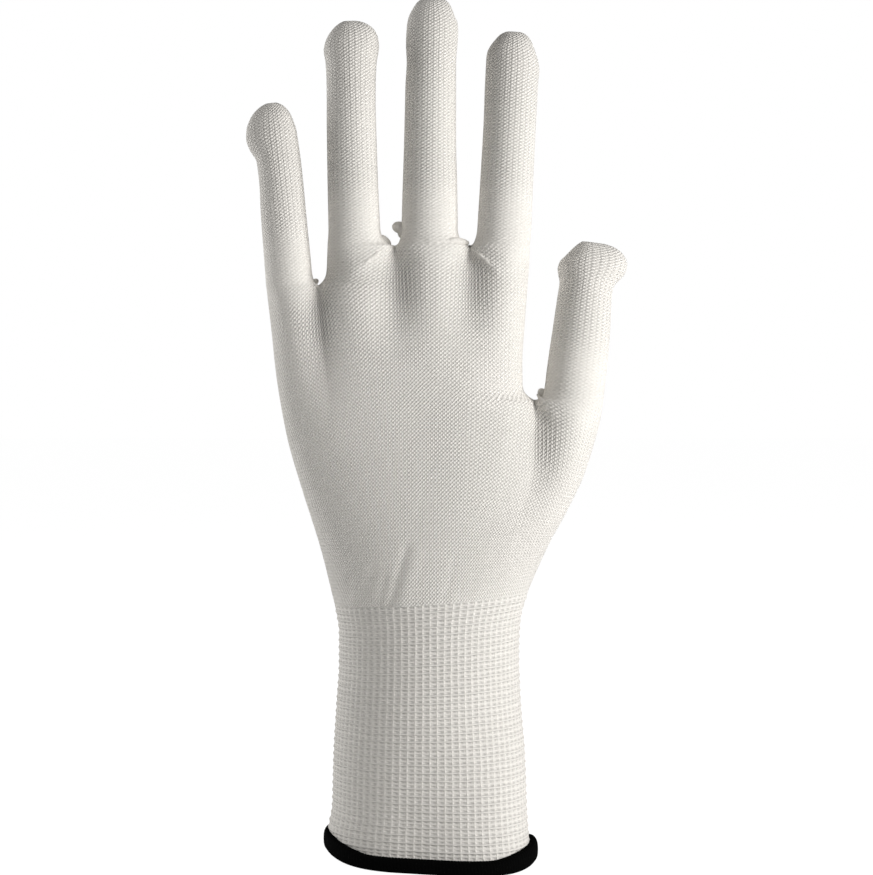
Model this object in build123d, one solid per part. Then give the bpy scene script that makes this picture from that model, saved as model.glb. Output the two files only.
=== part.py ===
"""Seamless machine-knit cut resistant glove for the left hand, upright on its cuff.

Frame: +Z runs from the cuff hem up to the fingertips, +X towards the thumb, and +Y towards the
palm, so the back of the hand faces -Y.  The origin is the centre of the wrist opening, on the
flat underside of the overlocked hem.  Lengths are millimetres and angles are degrees.

The fabric is a hollow wall.  It is divided where the knitting changes section (cuff, hand,
stalls) and where it folds over a knuckle.  Each fold is a hinge line across the middle of the
tube: the two walls stop short of each other in a V, as open as the fold needs, and a fold band
of fabric fills the V.
"""
from build123d import *
from dataclasses import dataclass
from math import cos, pi, radians, sin, tan
import os

# Fabric
stall_wall = 1.1            # knit of the hand and of the stalls
cuff_wall = 1.7             # thicker tuck knit of the cuff
fold_gap = 0.3              # a fold band's clearance to the piece that swings
fold_waist = 0.3            # height of a fold band where it crosses its hinge line
fold_spare = 1.0            # angle that each side of a V has beyond what its fold needs

# Cuff and hem
hem_height = 3.6
hem_width = 64.2
hem_depth = 50.0
hem_thickness = 4.4
hem_round = 1.1
cuff_length = 78.0          # from the underside of the hem to where the hand knit starts
cuff_foot_width = 60.6
cuff_foot_depth = 46.4
cuff_flare_height = 18.0    # the flare over the hem ends here
cuff_flare_width = 58.2
cuff_flare_depth = 44.4
cuff_waist_height = 60.0    # the narrowest place, round the wrist
cuff_waist_width = 53.8
cuff_waist_depth = 40.6
elastic_diameter = 0.7      # elastic thread laid into every cuff course
elastic_pitch = 2.2
elastic_gap = 0.1           # between the thread and the inner face of the cuff

# Hand: the height of each knitted section above the one below, and its girth on the way up
wrist_width = 57.8
wrist_depth = 41.0
heel_height = 23.0          # above the cuff
heel_width = 73.6
heel_depth = 37.0
heel_shift = 1.7            # the hand's centre moves this far towards the thumb
ball_height = 42.0          # above the cuff, across the ball of the thumb
ball_width = 88.4
ball_depth = 32.6
ball_shift = 3.0
five_finger_height = 59.5   # cuff to thumb crotch
web_depth = 28.6            # hand at the height of the thumb crotch
web_inset = 4.6             # outer edge there, in from the little finger's stall
side_waist = 2.0            # index side of the hand, in from the index stall
four_finger_height = 34.5   # thumb crotch to the crotch of the little finger
knuckle_height = 23.0       # above the thumb crotch
knuckle_depth = 26.8
knuckle_inset = 1.6
four_finger_top_depth = 21.6
top_waist = 0.9             # index side at the crotch of the little finger
three_finger_height = 12.0  # crotch of the little finger to the other finger crotches
three_finger_foot_depth = 20.4
three_finger_top_depth = 17.4
shoulder_margin = 0.3       # hand wall beyond the outermost stall
crotch_margin = 1.9         # from the little stall to the section that carries the others
wrist_squareness = 2.0      # 2 is an ellipse, more is squarer
ball_squareness = 2.3
web_squareness = 2.9
knuckle_squareness = 2.7
top_squareness = 3.2

# Where the stalls leave the hand
middle_x = -0.4
index_spacing = 22.1
ring_spacing = 22.1
little_spacing = 19.4
thumb_x = 42.6
thumb_y = 0.5
stall_tilt = 3.0            # lean of the fingers towards the palm
thumb_tilt = 7.0
thumb_roll = 30.0           # turn of the thumb's folds across the palm
root_sink = 6.0             # blank that each stall starts with below its crotch, cut off there
tip_flat = 0.8              # radius of the flat spot at the very end of a stall
seam_turn = 55.0            # keeps the closing edge of a turned surface off the hinge lines
girth_start = 0.4           # keeps a girth's closing point off the hinge line, in point spacings

# Little finger stall
little_length = 55.4
little_root_width = 14.0
little_waist_width = 13.0
little_lobe_width = 13.8
little_lobe_height = 8.0    # rounded end beyond the widest place
little_lean = -6.4
little_base_fold = 7.5      # distance of each fold from the crotch
little_middle_fold = 21.5
little_tip_fold = 37.5

# Ring finger stall
ring_length = 68.0
ring_root_width = 14.9
ring_waist_width = 14.6
ring_lobe_width = 15.9
ring_lobe_height = 9.0
ring_lean = -1.6
ring_base_fold = 8.5
ring_middle_fold = 25.5
ring_tip_fold = 46.5

# Middle finger stall
middle_length = 74.5
middle_root_width = 16.2
middle_waist_width = 15.0
middle_lobe_width = 15.2
middle_lobe_height = 10.0
middle_lean = 0.7
middle_base_fold = 9.5
middle_middle_fold = 27.5
middle_tip_fold = 51.0

# Index finger stall
index_length = 64.5
index_root_width = 15.7
index_waist_width = 15.5
index_lobe_width = 15.9
index_lobe_height = 10.0
index_lean = 3.0
index_base_fold = 8.5
index_middle_fold = 25.0
index_tip_fold = 44.0

# Thumb stall
thumb_length = 48.9
thumb_root_width = 17.8
thumb_waist_width = 16.8
thumb_lobe_width = 18.6
thumb_lobe_height = 9.0
thumb_lean = 6.9
thumb_base_fold = 9.5
thumb_tip_fold = 28.5

# Folds: how far each one opens towards the palm and towards the back
finger_base_flex = 68.0
finger_base_extend = 10.0
finger_middle_flex = 80.0
finger_tip_flex = 40.0
thumb_base_flex = 50.0
thumb_base_extend = 10.0
thumb_tip_flex = 60.0
thumb_tip_extend = 10.0
wrist_flex = 50.0
wrist_extend = 40.0
wrist_fold_rise = 2.0       # wrist fold above the top of the cuff

# Crotch joins: the bars of crossed stitches between neighbouring stalls
join_radius = 0.7
join_length = 9.0

# Heights that follow
thumb_crotch_z = cuff_length + five_finger_height
little_crotch_z = thumb_crotch_z + four_finger_height
finger_crotch_z = little_crotch_z + three_finger_height
wrist_fold_z = cuff_length + wrist_fold_rise


@dataclass
class Fold:
    """A hinge line across a tube, at a height along it, opening to the palm and to the back."""

    name: str
    height: float
    flex: float
    extend: float


@dataclass
class Stall:
    """A tube for one finger: its frame at the crotch, its widths and its folds."""

    name: str
    place: Plane
    length: float
    root_width: float
    waist_width: float
    lobe_width: float
    lobe_height: float
    folds: list


def stall_plane(x, y, z, lean, tilt, roll=0.0):
    """Frame of a stall: local Z is its axis, local X its hinge direction, local Y its palm side."""
    lean_a = radians(lean)
    tilt_a = radians(tilt)
    axis = (sin(lean_a) * cos(tilt_a), sin(tilt_a), cos(lean_a) * cos(tilt_a))
    across = (cos(lean_a), 0, -sin(lean_a))
    return Plane(origin=(x, y, z), x_dir=across, z_dir=axis).rotated((0, 0, roll))


def finger_folds(base, middle, tip):
    """The three folds of a finger stall, at their distances from the crotch."""
    return [
        Fold("base", base, finger_base_flex, finger_base_extend),
        Fold("middle", middle, finger_middle_flex, 0.0),
        Fold("tip", tip, finger_tip_flex, 0.0),
    ]


index_x = middle_x + index_spacing
ring_x = middle_x - ring_spacing
little_x = ring_x - little_spacing

LITTLE = Stall(
    "little", stall_plane(little_x, 0, little_crotch_z, little_lean, stall_tilt),
    little_length, little_root_width, little_waist_width, little_lobe_width, little_lobe_height,
    finger_folds(little_base_fold, little_middle_fold, little_tip_fold))
RING = Stall(
    "ring", stall_plane(ring_x, 0, finger_crotch_z, ring_lean, stall_tilt),
    ring_length, ring_root_width, ring_waist_width, ring_lobe_width, ring_lobe_height,
    finger_folds(ring_base_fold, ring_middle_fold, ring_tip_fold))
MIDDLE = Stall(
    "middle", stall_plane(middle_x, 0, finger_crotch_z, middle_lean, stall_tilt),
    middle_length, middle_root_width, middle_waist_width, middle_lobe_width, middle_lobe_height,
    finger_folds(middle_base_fold, middle_middle_fold, middle_tip_fold))
INDEX = Stall(
    "index", stall_plane(index_x, 0, finger_crotch_z, index_lean, stall_tilt),
    index_length, index_root_width, index_waist_width, index_lobe_width, index_lobe_height,
    finger_folds(index_base_fold, index_middle_fold, index_tip_fold))
THUMB = Stall(
    "thumb", stall_plane(thumb_x, thumb_y, thumb_crotch_z, thumb_lean, thumb_tilt, thumb_roll),
    thumb_length, thumb_root_width, thumb_waist_width, thumb_lobe_width, thumb_lobe_height,
    [Fold("base", thumb_base_fold, thumb_base_flex, thumb_base_extend),
     Fold("tip", thumb_tip_fold, thumb_tip_flex, thumb_tip_extend)])
STALLS = [LITTLE, RING, MIDDLE, INDEX, THUMB]
WRIST = Fold("wrist", 0.0, wrist_flex, wrist_extend)


# Folds

def fold_line(fold, offset, side, reach):
    """Points of one edge of a V in local (y, z): back end, hinge line, palm end.

    side is +1 for the edge that opens upwards and -1 for the one that opens downwards.
    """
    palm_rise = reach * tan(radians(fold.flex / 2 + fold_spare))
    back_rise = reach * tan(radians(fold.extend / 2 + fold_spare))
    middle = fold.height + offset
    return [(-reach, middle + side * back_rise), (0, middle), (reach, middle + side * palm_rise)]


def prism(place, outline, reach):
    """Solid of a (y, z) outline, drawn out along the hinge direction both ways."""
    face = make_face(Polyline(*[(0, y, z) for y, z in outline], close=True))
    return place * extrude(face, amount=reach, dir=(1, 0, 0), both=True)


def below_fold(place, fold, reach):
    """Space of the piece that the fold hangs from."""
    floor = fold.height - 3 * reach
    edge = fold_line(fold, -fold_waist, -1, reach)
    return prism(place, edge + [(reach, floor), (-reach, floor)], reach)


def above_fold(place, fold, reach):
    """Space of the piece that swings."""
    ceiling = fold.height + 3 * reach
    edge = fold_line(fold, fold_gap, 1, reach)
    return prism(place, edge + [(reach, ceiling), (-reach, ceiling)], reach)


def in_fold(place, fold, reach):
    """Space of the fold band, which rides on the piece below and clears the one above."""
    lower = fold_line(fold, -fold_waist, -1, reach)
    upper = fold_line(fold, 0.0, 1, reach)
    return prism(place, lower + upper[::-1], reach)


# Stalls

def stall_body(stall, inset):
    """Solid of revolution of a stall, its surface moved in by inset all over."""
    root = stall.root_width / 2 - inset
    waist = stall.waist_width / 2 - inset
    lobe = stall.lobe_width / 2 - inset
    lobe_z = stall.length - stall.lobe_height
    waist_z = (stall.folds[0].height + lobe_z) / 2
    side = Spline(
        (root, 0, 0), (waist, 0, waist_z), (lobe, 0, lobe_z), tangents=[(0, 0, 1), (0, 0, 1)])
    cap = Plane.XZ * EllipticalCenterArc(
        (tip_flat, lobe_z), lobe - tip_flat, stall.lobe_height - inset, start_angle=0, arc_size=90)
    tip_z = stall.length - inset
    rest = Polyline(
        (tip_flat, 0, tip_z), (0, 0, tip_z), (0, 0, -root_sink), (root, 0, -root_sink), (root, 0, 0))
    profile = make_face(side.edges() + cap.edges() + rest.edges())
    return stall.place * Rot(0, 0, seam_turn) * revolve(profile, Axis.Z)


def stall_pieces(stall, crotch_z):
    """Root, moving segments and fold bands of one stall, as a name to solid dictionary."""
    reach = 2 * stall.length
    roof = Pos(0, 0, crotch_z + reach) * Box(4 * reach, 4 * reach, 2 * reach)
    tube = (stall_body(stall, 0) - stall_body(stall, stall_wall)) & roof
    segment_names = ["root", "lower", "middle", "end"]
    if len(stall.folds) == 2:
        segment_names = ["root", "lower", "end"]
    pieces = {}
    rest = tube
    for fold, segment in zip(stall.folds, segment_names):
        pieces[f"{stall.name}_{segment}"] = rest & below_fold(stall.place, fold, reach)
        pieces[f"{stall.name}_{fold.name}_fold_band"] = rest & in_fold(stall.place, fold, reach)
        rest = rest & above_fold(stall.place, fold, reach)
    pieces[f"{stall.name}_{segment_names[-1]}"] = rest
    return pieces


# Hand

def girth(z, left, right, depth, squareness, inset):
    """Closed superellipse at height z between two edges, moved in by inset."""
    points = 24
    half_width = (right - left) / 2 - inset
    half_depth = depth / 2 - inset
    centre = (left + right) / 2
    power = 2 / squareness
    outline = []
    for i in range(points):
        angle = 2 * pi * (i + girth_start) / points
        c = cos(angle)
        s = sin(angle)
        x = half_width * abs(c) ** power * (1 if c >= 0 else -1)
        y = half_depth * abs(s) ** power * (1 if s >= 0 else -1)
        outline.append((centre + x, y, z))
    return make_face(Spline(*outline, periodic=True))


def tube_of(sections, inset):
    """Smooth solid through girths given as (z, left, right, depth, squareness)."""
    return loft([girth(*section, inset) for section in sections])


def roofed(sections, wall, bores):
    """Hollow tube through the girths, open below, with a flat roof that the bores go through."""
    top_z = sections[-1][0]
    plate = Pos(0, 0, top_z - wall / 2) * Box(400, 400, wall)
    for bore in bores:
        plate -= bore
    return tube_of(sections, 0) - (tube_of(sections, wall) - plate)


def hand_sections():
    """Girths of the five, four and three finger sections; their edges follow the stalls."""
    ring_left = ring_x - ring_root_width / 2 - shoulder_margin
    index_right = index_x + index_root_width / 2 + shoulder_margin
    little_left = little_x - little_root_width / 2 - shoulder_margin
    little_right = little_x + little_root_width / 2
    thumb_right = thumb_x + thumb_root_width / 2 + shoulder_margin
    heel_z = cuff_length + heel_height
    ball_z = cuff_length + ball_height
    knuckle_z = thumb_crotch_z + knuckle_height
    web_left = little_left + web_inset
    side_right = index_right - side_waist
    top_right = index_right - top_waist
    five = [
        (cuff_length, -wrist_width / 2, wrist_width / 2, wrist_depth, wrist_squareness),
        (heel_z, heel_shift - heel_width / 2, heel_shift + heel_width / 2, heel_depth,
         wrist_squareness),
        (ball_z, ball_shift - ball_width / 2, ball_shift + ball_width / 2, ball_depth,
         ball_squareness),
        (thumb_crotch_z, web_left, thumb_right, web_depth, web_squareness),
    ]
    four = [
        (thumb_crotch_z, web_left, side_right, web_depth, web_squareness),
        (knuckle_z, little_left + knuckle_inset, side_right, knuckle_depth, knuckle_squareness),
        (little_crotch_z, little_left, top_right, four_finger_top_depth, top_squareness),
    ]
    three = [
        (little_crotch_z, little_right + crotch_margin, top_right, three_finger_foot_depth,
         top_squareness),
        (finger_crotch_z, ring_left, index_right, three_finger_top_depth, top_squareness),
    ]
    return five, four, three


def hand_pieces():
    """The three knitted hand sections; each roof is open where the next piece stands on it."""
    five, four, three = hand_sections()
    five_body = roofed(five, stall_wall, [prolonged(four[0]), stall_body(THUMB, stall_wall)])
    four_body = roofed(four, stall_wall, [prolonged(three[0]), stall_body(LITTLE, stall_wall)])
    bores = [stall_body(stall, stall_wall) for stall in (RING, MIDDLE, INDEX)]
    return five_body, four_body, roofed(three, stall_wall, bores)


def prolonged(section):
    """Inside of a girth, carried straight down through the roof that it stands on."""
    z, left, right, depth, squareness = section
    return extrude(girth(z, left, right, depth, squareness, stall_wall), amount=2 * stall_wall,
                   dir=(0, 0, -1))


# Cuff

def oval(z, width, depth, inset):
    """Ellipse at height z, moved in by inset."""
    return girth(z, -width / 2, width / 2, depth, 2.0, inset)


def cuff_girths():
    """Height, width and depth of the cuff from the hem up; straight in between."""
    return [
        (hem_height, cuff_foot_width, cuff_foot_depth),
        (cuff_flare_height, cuff_flare_width, cuff_flare_depth),
        (cuff_waist_height, cuff_waist_width, cuff_waist_depth),
        (cuff_length, wrist_width, wrist_depth),
    ]


def cuff_tube():
    """Whole cuff, from the top of the hem to where the hand knit starts."""
    outer = loft([oval(z, w, d, 0) for z, w, d in cuff_girths()], ruled=True)
    inner = loft([oval(z, w, d, cuff_wall) for z, w, d in cuff_girths()], ruled=True)
    return outer - inner


def cuff_size_at(z):
    """Width and depth of the cuff at height z."""
    girths = cuff_girths()
    for (z0, w0, d0), (z1, w1, d1) in zip(girths, girths[1:]):
        if z0 <= z <= z1:
            t = (z - z0) / (z1 - z0)
            return w0 + t * (w1 - w0), d0 + t * (d1 - d0)
    raise ValueError(f"height {z} is off the cuff")


def elastic_threads():
    """One ring of elastic thread behind every course of the cuff, up to the wrist fold."""
    fold_reach = wrist_depth / 2
    fold_drop = fold_reach * tan(radians(wrist_flex / 2 + fold_spare)) + fold_waist
    top_z = wrist_fold_z - fold_drop - elastic_pitch
    inset = cuff_wall + elastic_gap + elastic_diameter / 2
    rings = []
    z = hem_height + elastic_pitch
    while z < top_z:
        width, depth = cuff_size_at(z)
        path = oval(z, width, depth, inset).edge()
        start = Plane(origin=path @ 0, z_dir=path % 0)
        rings.append(sweep(start * Circle(elastic_diameter / 2), path=path))
        z += elastic_pitch
    return Compound(children=rings)


def overlock_hem():
    """Band of overlock thread round the raw edge of the cuff, flat underneath."""
    outer = extrude(oval(0, hem_width, hem_depth, 0), amount=hem_height)
    inner = extrude(oval(0, hem_width, hem_depth, hem_thickness), amount=hem_height)
    ring = outer - inner
    return fillet(ring.edges(), hem_round)


# Crotch joins

def crotch_join(x, y, z):
    """Bar of crossed stitches across the hand, half round, on the roof between two stalls."""
    bar = Rot(90, 0, 0) * Cylinder(join_radius, join_length - 2 * join_radius)
    for end in (-1, 1):
        bar += Pos(0, end * (join_length / 2 - join_radius), 0) * Sphere(join_radius)
    above = Pos(0, 0, join_length) * Box(2 * join_length, 2 * join_length, 2 * join_length)
    return Pos(x, y, z) * (bar & above)


def crotch_joins():
    """The four joins, each midway between the walls that it ties together."""
    five, four, three = hand_sections()
    ring_right = ring_x + ring_root_width / 2
    middle_left = middle_x - middle_root_width / 2
    middle_right = middle_x + middle_root_width / 2
    index_left = index_x - index_root_width / 2
    little_right = little_x + little_root_width / 2
    thumb_left = thumb_x - thumb_root_width / 2
    return {
        "little_ring_crotch_join": crotch_join((little_right + three[0][1]) / 2, 0, little_crotch_z),
        "ring_middle_crotch_join": crotch_join((ring_right + middle_left) / 2, 0, finger_crotch_z),
        "middle_index_crotch_join": crotch_join((middle_right + index_left) / 2, 0, finger_crotch_z),
        "thumb_crotch_join": crotch_join((four[0][2] + thumb_left) / 2, thumb_y, thumb_crotch_z),
    }


# Whole glove

def glove():
    """Every piece of the glove, as a node name to solid dictionary."""
    five_body, four_body, three_body = hand_pieces()
    cuff = cuff_tube()
    wrist_place = Plane(origin=(0, 0, wrist_fold_z))
    reach = 2 * cuff_length
    pieces = {
        "overlock_hem": overlock_hem(),
        "cuff": cuff & below_fold(wrist_place, WRIST, reach),
        "cuff_elastic_threads": elastic_threads(),
        "wrist_fold_band": (cuff + five_body) & in_fold(wrist_place, WRIST, reach),
        "five_finger_section": five_body & above_fold(wrist_place, WRIST, reach),
        "four_finger_section": four_body,
        "three_finger_section": three_body,
    }
    pieces.update(stall_pieces(THUMB, thumb_crotch_z))
    pieces.update(stall_pieces(LITTLE, little_crotch_z))
    for stall in (RING, MIDDLE, INDEX):
        pieces.update(stall_pieces(stall, finger_crotch_z))
    pieces.update(crotch_joins())
    return pieces


if __name__ == "__main__":
    os.makedirs("parts", exist_ok=True)
    for name, solid in glove().items():
        export_step(solid, f"parts/{name}.step")
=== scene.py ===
"""Looks of the seamless machine-knit cut resistant glove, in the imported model's frame.

Frame: +Z runs up the fingers, +X towards the thumb, and -Y is the back of the hand, which faces
the camera.  Lengths here are millimetres; a mesh is turned into metres when it is made.

The knit shell is one welded surface of a front and a back sheet, counted in wales across and in
courses up.  Below a crotch the half tubes of the stalls flow into one broad half tube of the
hand.  The surface is then cut into pieces, each of which crosses one fold.
"""
import bpy
import math
import numpy as np
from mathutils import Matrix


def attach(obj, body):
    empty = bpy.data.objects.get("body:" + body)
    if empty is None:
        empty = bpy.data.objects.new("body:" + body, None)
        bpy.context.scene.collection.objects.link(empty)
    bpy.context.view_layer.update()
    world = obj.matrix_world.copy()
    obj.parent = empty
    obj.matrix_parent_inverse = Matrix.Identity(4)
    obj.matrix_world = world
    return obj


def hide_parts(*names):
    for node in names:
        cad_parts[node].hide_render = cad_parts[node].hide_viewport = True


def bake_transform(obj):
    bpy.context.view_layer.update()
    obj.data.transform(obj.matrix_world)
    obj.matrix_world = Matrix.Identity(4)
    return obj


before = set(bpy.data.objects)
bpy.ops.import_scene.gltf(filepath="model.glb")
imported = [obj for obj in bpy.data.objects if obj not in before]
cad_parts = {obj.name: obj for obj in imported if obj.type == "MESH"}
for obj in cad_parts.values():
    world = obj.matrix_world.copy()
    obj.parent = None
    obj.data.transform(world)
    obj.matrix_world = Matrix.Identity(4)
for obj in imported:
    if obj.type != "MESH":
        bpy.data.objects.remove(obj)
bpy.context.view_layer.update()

MM = 0.001

# Stitch counts and pitches
STALL_WALES = 16          # across half the girth of a stall
WALE_QUADS = 2
STALL_COLUMNS = STALL_WALES * WALE_QUADS
HAND_COURSE = 1.15
STALL_COURSE = 1.0
HAND_WALE_SHARE = 1.10    # stitch pattern wales per counted wale
STALL_WALE_SHARE = 0.91
COURSE_SAG = 0.0036       # the courses of the hand hang lower towards its sides
CUFF_CELLS = 72           # round the cuff
CUFF_COURSES = 34
CUFF_CELL_QUADS = 4
CUFF_COURSE_QUADS = 5
HEM_WRAPS = 176
HEM_WRAP_QUADS = 5
HEM_PROFILE = 24

# Levels
HEM_TOP = 3.6
CUFF_TOP = 78.0
WRIST_FOLD = 80.0
THUMB_CROTCH = 137.5
LITTLE_CROTCH = 172.0
FINGER_CROTCH = 184.0

SHELL_WALL = 1.0
CUFF_WALL = 1.7
CUFF_TUCK = 1.6           # the foot of the cuff runs this far down inside the hem
CUFF_INNER_ROWS = 24
LINE_RISE = 0.28          # relief of the course lines and of the wale columns of the cuff
COLUMN_RISE = 0.03
CELL_SINK = 0.08
LINE_WIDTH = 0.16         # share of a cell
MEAN_GIRTH = (28.5, 21.5)       # half width and half depth that space the wales of the cuff
HEM_GIRTH = (30.5, 24.0)        # the same for the wraps of the hem
HEM_CENTRE = (30.4, 23.6)       # half width and half depth to the middle of the hem
HEM_HALF_WIDTH = 1.75
HEM_HALF_HEIGHT = 2.15
HEM_SQUARENESS = 2.8
ELASTIC_PITCH = 2.2
ELASTIC_RADIUS = 0.35
ELASTIC_GAP = 0.1
ELASTIC_QUADS = 96
ELASTIC_SIDES = 8
ELASTIC_END = 12.4        # the last ring lies below the wrist fold by at least this
TIP_TAPER = 13.0          # the front and the back of a stall close over this length
TIP_POWER = 2.3
TIP_RUN = 3.0             # rows are denser over this last length of a stall
STALL_ROW = 0.8           # spacing of the other rows
CROTCH_CLEAR = 9.0        # merging is at its steepest within this distance of a crotch line
CROTCH_FADE = 14.0        # and slow beyond this much more
SLOW_MERGE = 40.0         # drop over which the slow merging is complete
SLACK_OPENNESS = 0.7      # the openness of the slack knit round the crotches is minus this

# Outer edges of the hand, as (height, x)
LITTLE_EDGE = [(78, -28.8), (91, -32.2), (109, -38.1), (127, -43.2), (145, -46.3), (159, -47.8),
               (172, -49.3)]
THUMB_EDGE = [(78, 29.7), (86, 33.0), (95, 36.8), (104, 41.3), (114, 46.1), (123, 49.1),
              (132, 51.4), (137.5, 52.2)]
INDEX_EDGE = [(137.5, 28.0), (149, 27.8), (159, 28.4), (171, 29.3), (180, 29.9), (184, 30.0)]
RING_EDGE = [(172, -31.6), (177, -31.1), (184, -30.8)]

# Lines that run down from the crotches, as (height, x)
LITTLE_LINE = [(78, -23.4), (172, -33.6)]
RING_LINE = [(78, -8.9), (184, -10.5)]
INDEX_LINE = [(78, 8.9), (184, 12.0)]
THUMB_LINE = [(78, 22.0), (97, 24.5), (117, 30.6), (137.5, 31.5)]

# Half depth of the hand at a height, to the back of the hand and to the palm, and its squareness
BACK_DEPTH = [(78, 20.5), (101, 18.5), (120, 16.0), (137.5, 14.3), (160, 13.2), (172, 11.5),
              (184, 9.0)]
PALM_DEPTH = [(78, 20.5), (101, 19.5), (120, 18.0), (137.5, 15.5), (160, 14.0), (172, 11.5),
              (184, 9.0)]
SQUARENESS = [(78, 2.0), (110, 2.1), (140, 2.3), (184, 2.6)]

# Cuff, as (height, value)
CUFF_LEFT = [(0, 31.0), (9, 30.6), (15, 29.6), (30, 29.2), (48, 28.2), (60, 27.5), (69, 27.5),
             (78, 28.8)]
CUFF_RIGHT = [(0, 30.6), (9, 29.4), (15, 29.0), (30, 28.6), (48, 27.3), (60, 26.9), (69, 27.3),
              (78, 29.7)]
CUFF_DEPTH = [(0, 23.4), (18, 22.2), (60, 20.3), (78, 20.5)]


class Stall:
    """One stall: origin at its crotch, lean, tilt, length, half widths up its axis and depth.

    left and right are (distance from the crotch, half width) knots.  left_web and right_web are
    (half width at the crotch, height) of the round web to the neighbour, or None.  cuts are the
    distances at which it is divided, and parts the bodies from the hand outwards.
    """

    def __init__(self, name, number, origin, lean, tilt, left, right, left_web, right_web,
                 depth, cuts, parts):
        self.name = name
        self.number = number
        self.origin = np.array(origin)
        self.left = left
        self.right = right
        self.left_web = left_web
        self.right_web = right_web
        self.depth = depth
        self.cuts = cuts
        self.parts = parts
        self.length = left[-1][0]
        lean_a = math.radians(lean)
        tilt_a = math.radians(tilt)
        self.axis = np.array([math.sin(lean_a) * math.cos(tilt_a), math.sin(tilt_a),
                              math.cos(lean_a) * math.cos(tilt_a)])
        self.across = np.array([math.cos(lean_a), 0.0, -math.sin(lean_a)])
        self.palm = np.cross(self.axis, self.across)

    def point(self, distance):
        """Point of the axis at a distance from the crotch."""
        return self.origin + distance * self.axis


LITTLE = Stall(
    "little", 0, (-41.9, 0, LITTLE_CROTCH), -6.4, 3.0,
    [(0, 7.4), (8, 7.1), (22, 6.6), (33, 6.0), (38, 6.1), (42, 7.8), (45, 8.5), (48, 8.1),
     (51, 6.8), (53, 5.2), (54.4, 3.4), (55.4, 1.4)],
    [(0, 6.8), (20, 7.0), (35, 7.2), (46, 6.9), (50, 6.1), (52, 5.4), (53.4, 4.5), (54.6, 3.3),
     (55.4, 1.8)],
    None, (8.3, 4.0), 6.6, [0.0, 14.5, 29.5, 55.4],
    ["hand", "little_lower_segment", "little_middle_segment", "little_end_segment"])
RING = Stall(
    "ring", 1, (-22.5, 0, FINGER_CROTCH), -1.6, 3.0,
    [(0, 8.3), (5, 7.9), (20, 7.8), (35, 7.6), (50, 7.3), (55, 7.4), (59, 7.9), (61, 7.5),
     (63, 6.7), (65, 5.3), (66.5, 3.8), (67.8, 1.7)],
    [(0, 7.8), (20, 7.4), (40, 7.3), (50, 7.6), (55, 8.0), (60, 8.8), (62.5, 8.6), (64.5, 7.8),
     (66, 6.5), (67.2, 4.4), (67.8, 2.6)],
    None, (12.0, 5.0), 7.2, [0.0, 17.0, 36.0, 67.8],
    ["hand", "ring_lower_segment", "ring_middle_segment", "ring_end_segment"])
MIDDLE = Stall(
    "middle", 2, (-0.4, 0, FINGER_CROTCH), 0.7, 3.0,
    [(0, 8.3), (15, 8.1), (30, 7.8), (48, 7.6), (55, 7.3), (61, 7.6), (66, 7.4), (68, 7.1),
     (70, 6.4), (72, 5.3), (73.5, 4.2), (74.6, 2.6)],
    [(0, 8.8), (10, 8.6), (20, 8.3), (30, 7.9), (45, 7.7), (55, 7.6), (64, 8.1), (67, 8.0),
     (69, 7.1), (71, 6.4), (73, 5.4), (74.2, 4.1), (74.6, 3.0)],
    (10.1, 5.0), (12.4, 5.0), 7.4, [0.0, 18.5, 39.0, 74.6],
    ["hand", "middle_lower_segment", "middle_middle_segment", "middle_end_segment"])
INDEX = Stall(
    "index", 3, (21.7, 0, FINGER_CROTCH), 3.0, 3.0,
    [(0, 7.8), (20, 7.6), (35, 7.5), (50, 7.7), (56, 7.7), (58, 7.5), (60, 6.6), (62, 5.2),
     (63.5, 3.9), (64.6, 2.0)],
    [(0, 8.3), (5, 8.5), (15, 8.4), (30, 8.3), (50, 8.3), (53, 8.5), (56, 8.0), (58, 7.3),
     (60, 6.5), (62, 5.6), (63.5, 4.4), (64.6, 2.6)],
    (9.7, 5.0), None, 7.4, [0.0, 16.5, 34.5, 64.6],
    ["hand", "index_lower_segment", "index_middle_segment", "index_end_segment"])
THUMB = Stall(
    "thumb", 4, (42.6, 0, THUMB_CROTCH), 6.9, 7.0,
    [(0, 8.5), (10, 8.4), (20, 8.1), (30, 7.8), (35, 7.6), (38, 8.4), (39.5, 8.7), (41.5, 8.3),
     (43.5, 6.8), (46, 4.9), (47.5, 3.5), (48.6, 2.2)],
    [(0, 9.6), (15, 9.5), (25, 9.1), (33, 8.6), (36, 8.9), (38, 10.3), (40, 11.7), (43, 12.2),
     (45, 11.4), (46.5, 10.1), (47.8, 7.8), (48.6, 5.0)],
    (11.1, 4.0), None, 8.4, [0.0, 19.0, 48.6],
    ["hand", "thumb_lower_segment", "thumb_end_segment"])
STALLS = [LITTLE, RING, MIDDLE, INDEX, THUMB]


# Numbers

def ease(t):
    """Smoothstep from 0 to 1."""
    t = np.clip(t, 0.0, 1.0)
    return t * t * (3 - 2 * t)


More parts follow.
